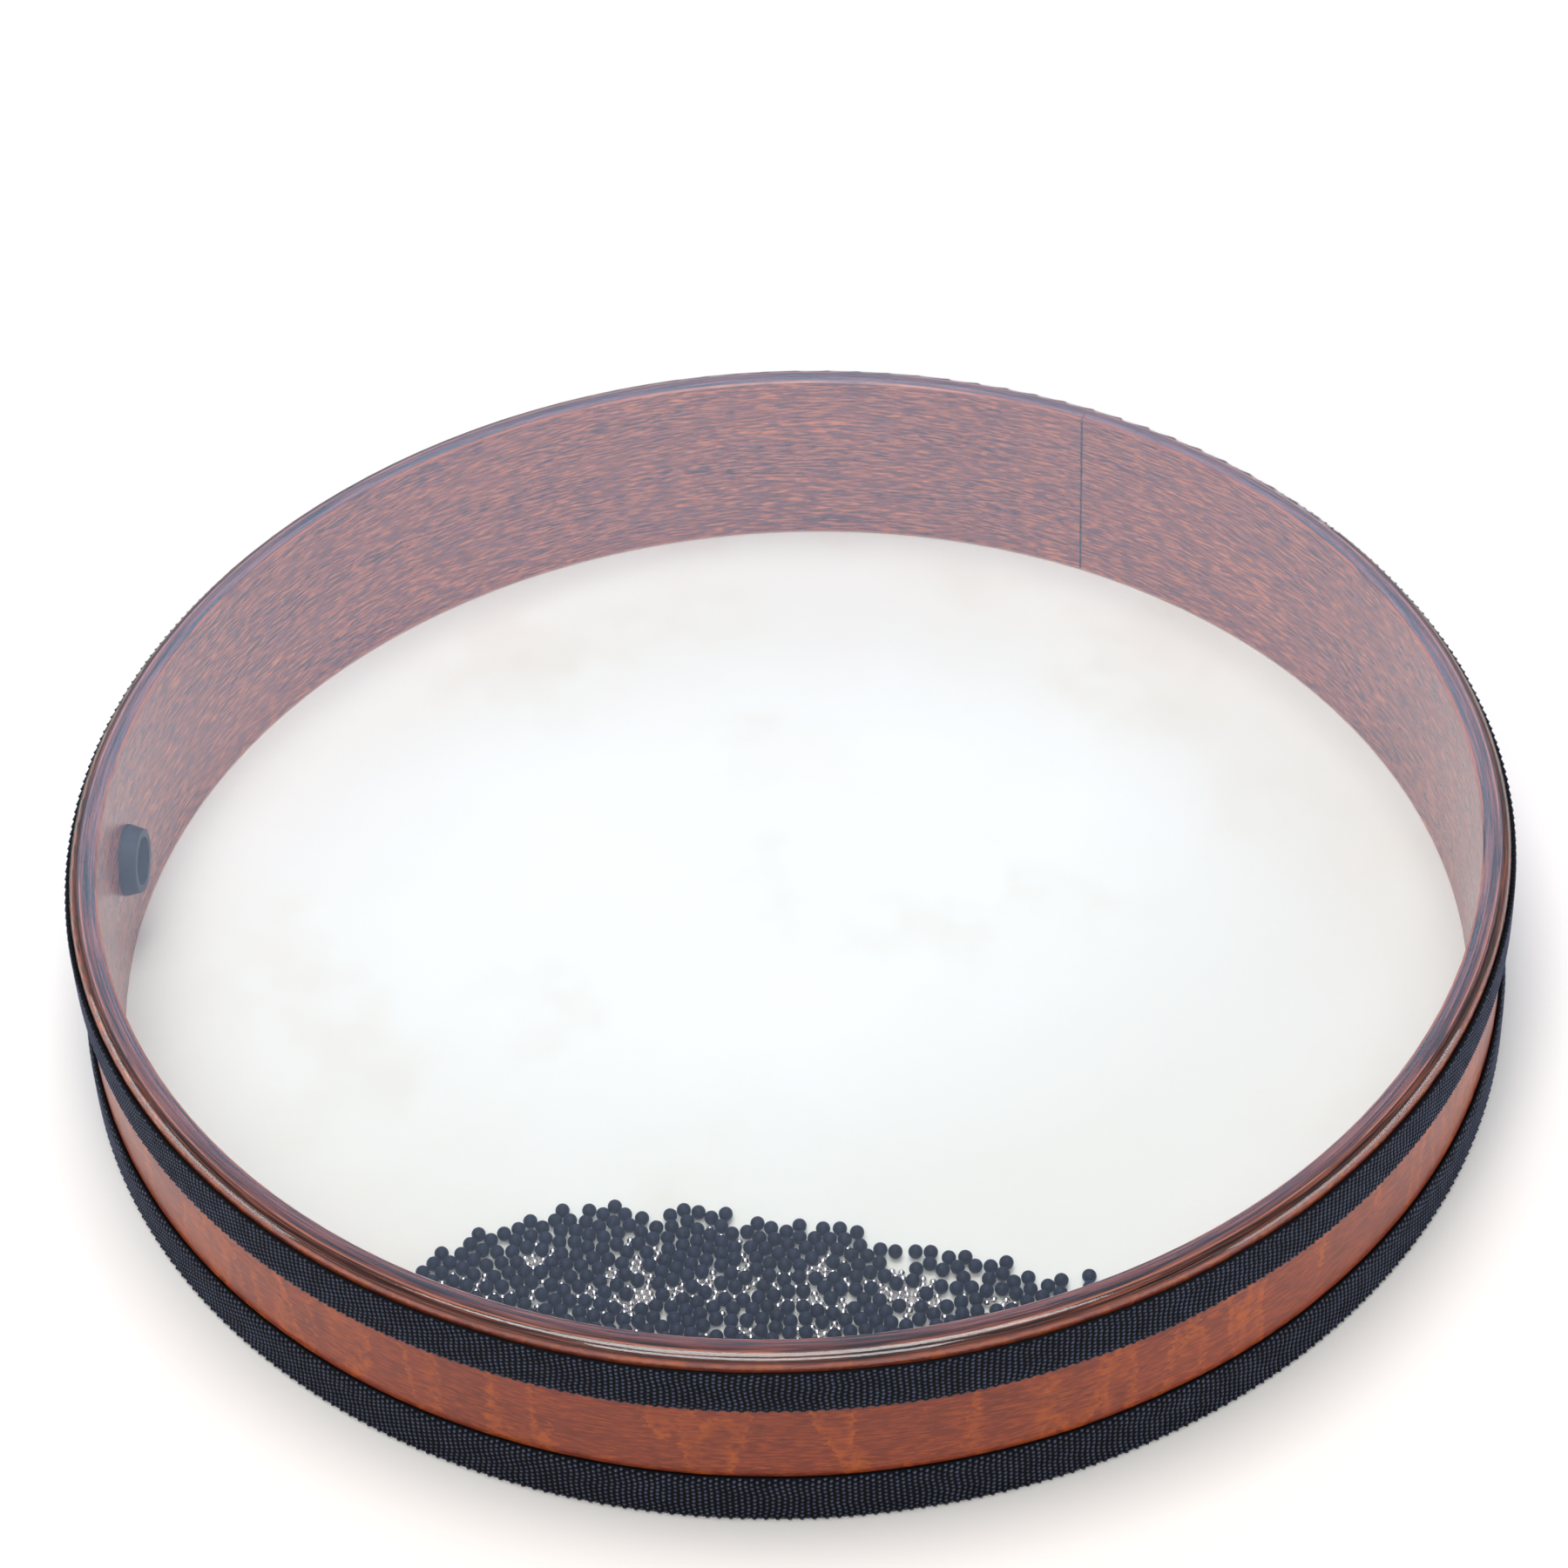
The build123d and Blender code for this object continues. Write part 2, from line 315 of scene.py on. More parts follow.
# %% Stain on the rim
top_of_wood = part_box("shell_outer_ply")[1].z
STREAKS_TO_RADIAN, STREAK_WIDTH = 7.0, 0.5 * MM  # round the rim that makes them 28 mm long
STAIN_FADE, CORNER_DEPTH, RUB_SIZE = 0.5 * MM, 0.8 * MM, 30 * MM


def rim_stain(tree, place, tone, colour, depth, pale_radius, pale_half):
    """Darkens the wood from its top down to depth with a stain of this colour, and leaves a pale line at
    pale_radius, pale_half to each side."""
    height = add(tree, "ShaderNodeSeparateXYZ", {"Vector": place}).outputs["Z"]
    outwards = vectors(tree, "MULTIPLY", place, (1, 1, 0))
    radius = vectors(tree, "LENGTH", outwards).outputs["Value"]
    # Streaks run round the rim, on its top as well as down its side.
    around = vectors(tree, "NORMALIZE", outwards)
    around = scaled(tree, around, STREAKS_TO_RADIAN)
    across = maths(tree, "SUBTRACT", radius, height)
    across = maths(tree, "MULTIPLY", across, 1 / STREAK_WIDTH)
    streak = vectors(tree, "ADD", around, add(tree, "ShaderNodeCombineXYZ", {"Z": across}))
    streak = mottled(tree, streak, 1.0, 3.0, 0.6)
    stain = shaded(tree, streak, (0.42, "#120908"), (0.52, colour), (0.66, "#844c3a"))
    dipped = mapped(tree, height, top_of_wood - depth - STAIN_FADE, top_of_wood - depth)
    tone = mixed(tree, dipped, tone, stain)
    pale = maths(tree, "COMPARE", radius, pale_radius, pale_half)
    near_top = maths(tree, "GREATER_THAN", height, top_of_wood - CORNER_DEPTH)
    pale = maths(tree, "MULTIPLY", pale, near_top)
    rubbed = mottled(tree, place, RUB_SIZE, 3.0)
    rubbed = mapped(tree, rubbed, 0.34, 0.5)
    pale = maths(tree, "MULTIPLY", pale, rubbed)
    return mixed(tree, pale, tone, linear("#b26848"))


# %% [markdown]
# Lacquer fills the wood's pores, so the gloss is soft, and follows the bands of open and closed grain. Wood
# and lacquer have nearly the same index of refraction, about 1.5. The inner face is a little glossier than
# the outer one. The inner ply's ends meet behind, to the right, and a dark line is painted along that seam.

# %% The three plies
SEAM_ANGLE, SEAM_HALF, SEAM_SHARE = math.radians(67.5), 0.4 * MM, 0.75
FOOT_FADE, FOOT_FULL, FOOT_SHARE = 1.7 * MM, 1.1 * MM, 0.8
GLOSS_SPREAD = 0.03


def stained_ply(name, colours, grain, rim, roughness, specular, seam=False):
    """A finish of stained and lacquered veneer for one ply. grain is passed on to stained_grain, and rim to
    rim_stain."""
    finish, tree = new_finish(name)
    place = add(tree, "ShaderNodeTexCoord").outputs["Object"]
    tone, fibre, band = stained_grain(tree, place, colours, *grain)
    if seam:
        # A dark line is painted along the seam.
        along = (math.cos(SEAM_ANGLE), math.sin(SEAM_ANGLE), 0)
        beside = (-math.sin(SEAM_ANGLE), math.cos(SEAM_ANGLE), 0)
        off_seam = vectors(tree, "DOT_PRODUCT", place, beside)
        this_side = vectors(tree, "DOT_PRODUCT", place, along)
        this_side = maths(tree, "GREATER_THAN", this_side, 0.0)
        line = maths(tree, "COMPARE", off_seam, 0.0, SEAM_HALF)
        line = maths(tree, "MULTIPLY", line, this_side)
        line = maths(tree, "MULTIPLY", line, SEAM_SHARE)
        tone = mixed(tree, line, tone, linear("#2a1716"))
        # A pale warm line is painted along its lower edge.
        foot = add(tree, "ShaderNodeSeparateXYZ", {"Vector": place}).outputs["Z"]
        foot = mapped(tree, foot, FOOT_FADE, FOOT_FULL, 0.0, FOOT_SHARE)
        tone = mixed(tree, foot, tone, linear("#d8906a"))
    tone = rim_stain(tree, place, tone, *rim)
    gloss = mapped(tree, band, 0.3, 0.7, roughness - GLOSS_SPREAD, roughness + GLOSS_SPREAD)
    relief = add(tree, "ShaderNodeBump", {"Height": fibre, "Strength": 0.1, "Distance": 0.15 * MM})
    principled(tree, {"Base Color": tone, "Roughness": gloss, "Normal": relief, "IOR": 1.5,
                      "Specular IOR Level": specular})
    return finish


wear("shell_outer_ply", stained_ply(
    "mahogany_stained_veneer_lacquered", ("#863c2a", "#783627", "#602b20", "#b05622"),
    grain=(5 * MM, 0.6, 0.8), rim=("#4e2418", 1.3 * MM, 198.25 * MM, 0.13 * MM),
    roughness=0.3, specular=0.26))
wear("shell_core_ply", stained_ply(
    "core_veneer_stained_edge", ("#523230", "#4a2e2c", "#3b2522", "#6b3d30"),
    grain=(18 * MM, 0.5, 0.1), rim=("#602a22", 0.3 * MM, 198.0 * MM, 0.08 * MM),
    roughness=0.35, specular=0.25))
wear("shell_inner_ply", stained_ply(
    "mahogany_stained_veneer_satin", ("#935040", "#894c42", "#512e2c", "#d68048"),
    grain=(5 * MM, 1.0, 0.1), rim=("#6e3128", 0.3 * MM, 193.75 * MM, 0.25 * MM),
    roughness=0.27, specular=0.5, seam=True))

# %% [markdown]
# ## Heads
# Both heads are round sheets, drawn over an edge of the hoop and held by their hems behind the tapes. Each
# is turned like a bowl on a lathe: half of its section goes round the axis in small steps, out along the
# outer face to the hem and back along the inner face, so the mesh is closed. It stays two hundredths of a
# millimetre off the wood, because faces in the same place would flicker.

# %% Section of a head
STEPS_ROUND, BEND_STEPS, OFF_WOOD = 720, 10, 0.02 * MM
FLAT_RADIUS = 195.5 * MM  # both heads are flat as far as this
RINGS = (0.0, 80 * MM, 160 * MM, 188 * MM, FLAT_RADIUS)
SKIRT_SHARES = (0.07, 0.5, 1.0)
CREASE = math.radians(40)


def head_section(outside, face, hem, thickness, corner, inset):
    """Half of a head's section, from the axis out and on to the hem. inset is the depth below its outer
    face."""
    up = 1 if face > hem else -1
    bend_radius, bend_height = outside - thickness - corner, face - up * (thickness + corner)
    across = [(radius, face - up * inset) for radius in RINGS]
    around = corner + thickness - inset
    turns = [math.pi / 2 * (1 - i / BEND_STEPS) for i in range(BEND_STEPS + 1)]
    over = [(bend_radius + around * math.cos(t), bend_height + up * around * math.sin(t)) for t in turns]
    skirt = [(outside - inset, bend_height + (hem - bend_height) * share) for share in SKIRT_SHARES]
    return across + over + skirt


# %% Turning a head
def drawn_head(name, node, thickness, corner, stands_off):
    low_corner, high_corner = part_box(node)
    heights = (high_corner.z, low_corner.z) if node == "clear_head" else (low_corner.z, high_corner.z)
    size = (high_corner.x, *heights, thickness, corner)
    section = head_section(*size, 0.0) + head_section(*size, thickness - OFF_WOOD)[::-1]
    shape = bmesh.new()
    rings = []
    for radius, height in section:
        if radius == 0.0:
            rings.append([shape.verts.new((0, 0, height))] * STEPS_ROUND)
            continue
        ring = []
        for step in range(STEPS_ROUND):
            turn = 2 * math.pi * step / STEPS_ROUND
            out = radius + stands_off(turn, radius, height)
            ring.append(shape.verts.new((out * math.cos(turn), out * math.sin(turn), height)))
        rings.append(ring)
    for inner, outer in zip(rings, rings[1:]):
        for step in range(STEPS_ROUND):
            after = (step + 1) % STEPS_ROUND
            corners = [inner[step], outer[step], outer[after], inner[after]]
            shape.faces.new([c for i, c in enumerate(corners) if c not in corners[:i]])
    bmesh.ops.recalc_face_normals(shape, faces=shape.faces)
    for face in shape.faces:
        face.smooth = True
    for edge in shape.edges:
        edge.smooth = edge.calc_face_angle(0.0) < CREASE
    mesh = bpy.data.meshes.new(name)
    shape.to_mesh(mesh)
    shape.free()
    head = bpy.data.objects.new(name, mesh)
    scene.collection.objects.link(head)
    # Flat, the sheet reaches as far as the middle of its section is long.
    reach = size[0] - thickness - corner + math.pi / 2 * (corner + thickness / 2)
    reach += abs(heights[0] - heights[1]) - thickness - corner
    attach(head, "drum")
    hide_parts(node)
    print(f"{name}: {len(mesh.polygons)} faces, cut {2 * reach / MM:.1f} mm across")
    return head


# %% [markdown]
# The upper head is clear polyester film. Over the rim it is pulled round a curve that it can't follow, so
# it has fine puckers there, and they break up the bright line that runs along the rim.

# %% The clear film
tape_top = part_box("top_tape")[1].z
PUCKERS_TO_RADIAN, PUCKER_WIDTH, PUCKER_HEIGHT = 8.0, 0.8 * MM, 0.022 * MM  # round the rim, 25 mm long
PUCKER_RISE, ABOVE_TAPE, TAPE_FADE = 2.5 * MM, 0.2 * MM, 1.0 * MM


def pucker(turn, radius, height):
    """How far the film stands off there. Puckers rise over the rim and end above the tape."""
    over_rim = min(1.0, max(0.0, (radius - FLAT_RADIUS) / PUCKER_RISE))
    over_rim *= min(1.0, max(0.0, (height - tape_top - ABOVE_TAPE) / TAPE_FADE))
    x, y = math.cos(turn) * PUCKERS_TO_RADIAN, math.sin(turn) * PUCKERS_TO_RADIAN
    waves = noise.noise(Vector((x, y, (radius - height) / PUCKER_WIDTH)))
    return over_rim * PUCKER_HEIGHT * (1.0 + waves)


drawn_film = drawn_head("drawn_film", "clear_head", thickness=0.3 * MM, corner=3.0 * MM, stands_off=pucker)

# %% [markdown]
# Thin clear film bends light so little that it can be left out: what the eye gets is the light straight
# through, with a little mirrored from each face, more at a slant. So the shader mixes Transparent with
# Glossy by the angle of view, and adds a trace of dust. A true glass shader would also block the lights and
# leave the inside of the drum dark.

# %% Clear polyester
face_mirror, slant_mirror = 0.03, 0.25  # shares of the light
least_dust, most_dust, dust_patch = 0.001, 0.005, 60 * MM
film, tree = new_finish("polyester_film_stretched")
place = add(tree, "ShaderNodeTexCoord").outputs["Object"]
slant = add(tree, "ShaderNodeLayerWeight", {"Blend": 0.5}).outputs["Facing"]
slant = maths(tree, "POWER", slant, 5.0)
mirrored = maths(tree, "MULTIPLY_ADD", slant, slant_mirror, face_mirror)
through = add(tree, "ShaderNodeBsdfTransparent", {"Color": WHITE})
mirror = add(tree, "ShaderNodeBsdfGlossy", {"Color": WHITE, "Roughness": 0.06})
clear = add(tree, "ShaderNodeMixShader", {"Fac": mirrored, 1: through, 2: mirror})
dust = mottled(tree, place, dust_patch, 3.0)
dust = mapped(tree, dust, 0.3, 0.7, least_dust, most_dust)
haze = add(tree, "ShaderNodeBsdfDiffuse", {"Color": linear("#dfe6f2")})
clear = add(tree, "ShaderNodeMixShader", {"Fac": dust, 1: clear, 2: haze})
add(tree, "ShaderNodeOutputMaterial", {"Surface": clear})
drawn_film.data.materials.append(film)

# %% [markdown]
# The lower head is scraped skin, drawn over the hoop while it was wet. It dries taut and without puckers,
# to an off-white that is never even: broad beige and pinkish clouds where it was thicker, and a fine tooth
# that scatters the light. Two broad noises give the clouds, and a fine one gives the tooth.

# %% The skin head
drawn_skin = drawn_head("drawn_skin", "skin_head", thickness=0.5 * MM, corner=1.5 * MM,
                        stands_off=lambda turn, radius, height: 0.0)
cloud_size, blush_size, pore_gap = 90 * MM, 130 * MM, 0.8 * MM
# Where the painted glow is centred, where the painted shade around it begins and is full, and its share.
veil_middle, veil_fade_from, veil_fade_full, painted_shade_share = (-50 * MM, 100 * MM, 0.0), 130 * MM, 210 * MM, 0.6
skin, tree = new_finish("scraped_skin_dried")
place = add(tree, "ShaderNodeTexCoord").outputs["Object"]
cloud = mottled(tree, place, cloud_size, 5.0, 0.6)
tone = shaded(tree, cloud, (0.3, "#eae7da"), (0.46, "#f1f3eb"), (0.7, "#f4f6f2"))
# Painted light: the skin is left palest behind the middle, as if a glow of reflected light lay there. Away
# from there it is painted a shade darker and more like cream, as painted shade.
beyond_veil = vectors(tree, "DISTANCE", place, veil_middle).outputs["Value"]
beyond_veil = mapped(tree, beyond_veil, veil_fade_from, veil_fade_full, 0.0, painted_shade_share)
tone = mixed(tree, beyond_veil, tone, linear("#e3e4d8"))
blush = add(tree, "ShaderNodeMapping", {"Vector": place, "Location": (0.3, 0.1, 0.0)})
blush = mottled(tree, blush, blush_size, 4.0, 0.65)
blush = mapped(tree, blush, 0.56, 0.72, 0.0, 0.25)
tone = mixed(tree, blush, tone, linear("#ecdfd2"))
# The tooth: its pores are a little coarser than real ones, so that they show.
tooth = mottled(tree, place, pore_gap, 2.0)
relief = add(tree, "ShaderNodeBump", {"Height": tooth, "Strength": 0.15, "Distance": 0.15 * MM})
principled(tree, {"Base Color": tone, "Roughness": 0.62, "Normal": relief, "Specular IOR Level": 0.3})
drawn_skin.data.materials.append(skin)

# %% [markdown]
# ## Woven tape
# Two strips of nylon tape cover the hems of the heads. Heavy threads run across each strip and raise it in
# ribs 1.55 mm apart, and the threads along the strip pass over and under them, so every rib is a row of
# small bumps, and the bumps of the next rib sit half a step higher. The weave follows a rule, so a Geometry
# Nodes tree makes it: a flat grid is bent round the hoop, and its height at each point is worked out from
# the numbers of its rib and its row. Its inputs are the sizes of the strip, so both strips come from the
# same tree.

# %% A piece from a Geometry Nodes tree
def node_tree(name, sizes):
    """A Geometry Nodes tree with named inputs. sizes maps each name to its socket type."""
    tree = bpy.data.node_groups.new(name, "GeometryNodeTree")
    tree.interface.new_socket("Geometry", in_out="OUTPUT", socket_type="NodeSocketGeometry")
    for size, kind in sizes.items():
        tree.interface.new_socket(size, in_out="INPUT", socket_type=kind)
    return tree, add(tree, "NodeGroupInput").outputs


def made_by(tree, name, sizes):
    """Runs a tree with these sizes and keeps the result as a plain mesh in an object called name."""
    maker = bpy.data.objects.new(name + "_maker", bpy.data.meshes.new(name + "_maker"))
    scene.collection.objects.link(maker)
    modifier = maker.modifiers.new(tree.name, "NODES")
    modifier.node_group = tree
    for socket in tree.interface.items_tree:
        if socket.name in sizes:
            modifier[socket.identifier] = sizes[socket.name]
    graph = bpy.context.evaluated_depsgraph_get()
    mesh = bpy.data.meshes.new_from_object(maker.evaluated_get(graph), depsgraph=graph)
    bpy.data.objects.remove(maker)
    mesh.name = name
    piece = bpy.data.objects.new(name, mesh)
    scene.collection.objects.link(piece)
    return piece


# %% The weave
FLOAT, INT, MATERIAL = "NodeSocketFloat", "NodeSocketInt", "NodeSocketMaterial"
weave, size = node_tree("woven_tape", {
    "Inner Radius": FLOAT, "Lower Edge": FLOAT, "Width": FLOAT, "Thickness": FLOAT, "Ribs": INT, "Bumps": INT,
    "Joint Angle": FLOAT, "Joint Gap": FLOAT, "Rib Depth": FLOAT, "Bump Share": FLOAT, "Tuck Below": FLOAT,
    "Tuck Above": FLOAT, "Seed": FLOAT, "Cloth": MATERIAL})
STEPS = 4  # grid columns to a rib: its valley, a flank, its crest and the other flank
EDGE_ROWS = 4  # rows that go round the two edges to the back
WELD, SAME = 0.001 * MM, 0.1  # points this near are one, and row numbers this near are the same
columns = maths(weave, "MULTIPLY", size["Ribs"], STEPS)
# Rows: two to a bump, and those of the edges.
rows = maths(weave, "MULTIPLY_ADD", size["Bumps"], 2.0, EDGE_ROWS)
all_rows = maths(weave, "ADD", rows, 1.0)
across_count = maths(weave, "ADD", columns, 1.0)
up_count = maths(weave, "ADD", all_rows, 1.0)
grid = add(weave, "GeometryNodeMeshGrid", {"Size X": columns, "Size Y": all_rows, "Vertices X": across_count,
                                           "Vertices Y": up_count})
flat = add(weave, "ShaderNodeSeparateXYZ", {"Vector": add(weave, "GeometryNodeInputPosition")})
column = maths(weave, "MULTIPLY_ADD", columns, 0.5, flat.outputs["X"])
column = maths(weave, "ROUND", column)
row = maths(weave, "MULTIPLY_ADD", all_rows, 0.5, flat.outputs["Y"])
row = maths(weave, "ROUND", row)
row = maths(weave, "FLOORED_MODULO", row, all_rows)  # the last row is the first again
from_top = maths(weave, "SUBTRACT", rows, row)
# How far each point stands out: 0 at the back, a half on the edges, 1 on the face.
to_edge = maths(weave, "MINIMUM", row, from_top)
proud = maths(weave, "MULTIPLY", to_edge, 2 / EDGE_ROWS, use_clamp=True)
# The rib's round back, and the bumps on it, which change places from rib to rib.
rib_place = maths(weave, "MULTIPLY", column, 1 / STEPS)
rib = maths(weave, "MULTIPLY", rib_place, math.pi)
rib = maths(weave, "ABSOLUTE", maths(weave, "SINE", rib))
rib_number = maths(weave, "FLOOR", rib_place)
turn = maths(weave, "ADD", row, rib_number)
bump = maths(weave, "FLOORED_MODULO", turn, 2.0)
on_face = maths(weave, "GREATER_THAN", to_edge, EDGE_ROWS / 2 - 0.5)
bump = maths(weave, "MULTIPLY", bump, on_face)
low = maths(weave, "SUBTRACT", 1.0, size["Bump Share"])
crown = maths(weave, "MULTIPLY_ADD", bump, size["Bump Share"], low)
crown = maths(weave, "MULTIPLY", crown, rib)
sunk = maths(weave, "SUBTRACT", 1.0, crown)
sunk = maths(weave, "MULTIPLY", sunk, size["Rib Depth"])
stands = maths(weave, "SUBTRACT", size["Thickness"], sunk)
radius = maths(weave, "MULTIPLY_ADD", proud, stands, size["Inner Radius"])

# %% The strip round the hoop
EDGE_ROUND, TUCKED_SHARE = 0.3 * MM, 0.12
# The angle runs from one cut end of the strip to the other, with the joint's gap left between them.
gap_angle = maths(weave, "DIVIDE", size["Joint Gap"], size["Inner Radius"])
sweep = maths(weave, "SUBTRACT", 2 * math.pi, gap_angle)
start = maths(weave, "MULTIPLY_ADD", gap_angle, 0.5, size["Joint Angle"])
share = maths(weave, "DIVIDE", column, columns)
angle = maths(weave, "MULTIPLY_ADD", share, sweep, start)
# Height: even steps over the face. The edge rows stand out by the width of a rib's end, which makes the
# edge toothed.
face_row = maths(weave, "SUBTRACT", row, EDGE_ROWS / 2)
last_row = maths(weave, "SUBTRACT", rows, EDGE_ROWS)
face_row = maths(weave, "MAXIMUM", face_row, 0.0)
face_row = maths(weave, "MINIMUM", face_row, last_row)
rise = maths(weave, "DIVIDE", face_row, last_row)
face_width = maths(weave, "SUBTRACT", size["Width"], 2 * EDGE_ROUND)
height = maths(weave, "MULTIPLY_ADD", rise, face_width, EDGE_ROUND)
tooth = maths(weave, "MULTIPLY", rib, EDGE_ROUND)
lower_edge = maths(weave, "COMPARE", row, 1.0, SAME)
upper_edge = maths(weave, "COMPARE", from_top, 1.0, SAME)
edge_side = maths(weave, "SUBTRACT", upper_edge, lower_edge)
height = maths(weave, "MULTIPLY_ADD", edge_side, tooth, height)
height = maths(weave, "ADD", height, size["Lower Edge"])
# Past the hem of its head the strip is pulled in, down to the wood.
for reach, edge, tuck in ((TUCKED_SHARE, 0.0, "Tuck Below"), (1 - TUCKED_SHARE, 1.0, "Tuck Above")):
    pulled = mapped(weave, rise, reach, edge, 0.0, size[tuck])
    radius = maths(weave, "SUBTRACT", radius, pulled)

# %% A hand-laid strip
# No strip is laid dead straight: its ribs lean and its edges wander, by up to about a millimetre.
LEANS_TO_RADIAN, LEANS_TO_WIDTH, MOST_LEAN = 7.0, 2.0, 0.006  # the lean is an angle round the hoop
WANDERS_TO_RADIAN, MOST_WANDER = 5.0, 0.5 * MM
STRAIGHT_END = 0.005  # share of the strip's length


def hand_laid(place, scale, most):
    """A noise for the strip's seed, from -most to most."""
    drift = add(weave, "ShaderNodeTexNoise", {"Vector": place, "W": size["Seed"], "Scale": scale,
                                              "Detail": 1.0}, noise_dimensions="4D")
    return mapped(weave, drift, 0.0, 1.0, -most, most)


cosine = maths(weave, "COSINE", angle)
sine = maths(weave, "SINE", angle)
lean_at = add(weave, "ShaderNodeCombineXYZ", {"X": maths(weave, "MULTIPLY", cosine, LEANS_TO_RADIAN),
                                              "Y": maths(weave, "MULTIPLY", sine, LEANS_TO_RADIAN),
                                              "Z": maths(weave, "MULTIPLY", rise, LEANS_TO_WIDTH)})
lean = hand_laid(lean_at, 1.0, MOST_LEAN)
wander_at = add(weave, "ShaderNodeCombineXYZ", {"X": cosine, "Y": sine})
wander = hand_laid(wander_at, WANDERS_TO_RADIAN, MOST_WANDER)
inside = maths(weave, "SUBTRACT", share, 0.5)
inside = maths(weave, "ABSOLUTE", inside)
inside = mapped(weave, inside, 0.5, 0.5 - STRAIGHT_END)  # 0 at the cut ends
lean = maths(weave, "MULTIPLY", lean, inside)
angle = maths(weave, "ADD", angle, lean)
height = maths(weave, "ADD", height, wander)

# %% The finished weave
x = maths(weave, "MULTIPLY", radius, maths(weave, "COSINE", angle))
y = maths(weave, "MULTIPLY", radius, maths(weave, "SINE", angle))
round_hoop = add(weave, "ShaderNodeCombineXYZ", {"X": x, "Y": y, "Z": height})
crown = maths(weave, "MULTIPLY", crown, proud)
cloth = add(weave, "GeometryNodeStoreNamedAttribute", {"Geometry": grid, "Name": "crown", "Value": crown},
            data_type="FLOAT", domain="POINT")
cloth = add(weave, "GeometryNodeSetPosition", {"Geometry": cloth, "Position": round_hoop})
cloth = add(weave, "GeometryNodeMergeByDistance", {"Geometry": cloth, "Distance": WELD})
cloth = add(weave, "GeometryNodeSetShadeSmooth", {"Geometry": cloth})
cloth = add(weave, "GeometryNodeRealizeInstances", {"Geometry": cloth})
cloth = add(weave, "GeometryNodeSetMaterial", {"Geometry": cloth, "Material": size["Cloth"]})
add(weave, "NodeGroupOutput", {"Geometry": cloth})
print("the weave's tree has", len(weave.nodes), "nodes")

# %% [markdown]
# Nylon threads are dyed nearly black, with a blue cast. Each thread is a bundle of smooth filaments. The tree
# left the height of each point in an attribute called crown, and the material paints its colour by that
# height:
# painted shade, black, in the valleys between the ribs, and a soft painted highlight on the tops of the
# bumps.

# %% Nylon
worn_patch, wear_span, wear_low = 4 * MM, 0.35, -0.17
nylon, tree = new_finish("nylon_webbing_woven")
crown = add(tree, "ShaderNodeAttribute", attribute_name="crown").outputs["Fac"]
place = add(tree, "ShaderNodeTexCoord").outputs["Object"]
worn = mottled(tree, place, worn_patch, 3.0)
level = maths(tree, "MULTIPLY_ADD", worn, wear_span, wear_low)
level = maths(tree, "ADD", level, crown)
# Painted shade in the valleys and a painted highlight on the crowns, on top of the random wear.
tone = shaded(tree, level, (0.15, "#010206"), (0.5, "#0b0e18"), (1.0, "#5d6680"))
principled(tree, {"Base Color": tone, "Roughness": 0.6, "IOR": 1.53, "Specular IOR Level": 0.1})

# %% Both strips
RIB_PITCH, RIB_DEPTH, BUMPS, BUMP_SHARE = 1.55 * MM, 0.7 * MM, 10, 0.65
THICKNESS, SLIT, CAD_JOINT = 1.5 * MM, 0.12 * MM, 0.8 * MM
wood_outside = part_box("shell_outer_ply")[1].x + OFF_WOOD
for name, joint, seed in (("top_tape", 112.0, 3.0), ("bottom_tape", 126.0, 8.0)):
    low_corner, high_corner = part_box(name)
    outer = high_corner.x
    inner, width = outer - THICKNESS, high_corner.z - low_corner.z
    ribs = 2 * round(math.pi * outer / RIB_PITCH)
    # The upper strip was pulled tighter, and is a little narrower for it. The cut ends meet in a fine slit.
    drawn_in, narrowed = (0.4 * MM, 1.0 * MM) if name == "top_tape" else (0.0, 0.0)
    strip = made_by(weave, "woven_" + name, {
        "Inner Radius": inner, "Lower Edge": low_corner.z + drawn_in, "Width": width - narrowed,
        "Thickness": THICKNESS, "Ribs": ribs, "Bumps": BUMPS, "Joint Angle": math.radians(joint),
        "Joint Gap": SLIT, "Rib Depth": RIB_DEPTH, "Bump Share": BUMP_SHARE,
        "Tuck Below" if name == "top_tape" else "Tuck Above": inner - wood_outside,
        "Seed": seed, "Cloth": nylon})
    shape = bmesh.new()
    shape.from_mesh(strip.data)
    bmesh.ops.holes_fill(shape, edges=[e for e in shape.edges if e.is_boundary], sides=0)  # the two cut ends
    bmesh.ops.recalc_face_normals(shape, faces=shape.faces)
    open_edges = sum(not e.is_manifold for e in shape.edges)
    shape.to_mesh(strip.data)
    shape.free()
    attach(strip, "drum")
    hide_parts(name)
    print(f"{strip.name}: {ribs} ribs, {len(strip.data.polygons)} faces, {open_edges} open edges")

# %% [markdown]
# ## Beads and shot
# Four hundred beads and nearly three hundred smaller shot lie where they rolled. The CAD model has them as
# round solids, so each is an island of its mesh. A Geometry Nodes tree finds the middle of each island and
# puts one light ball there. The ball is a cube of ninety-six faces that is blown up until every point is at
# the same distance from its middle, so it has no poles where the faces crowd.

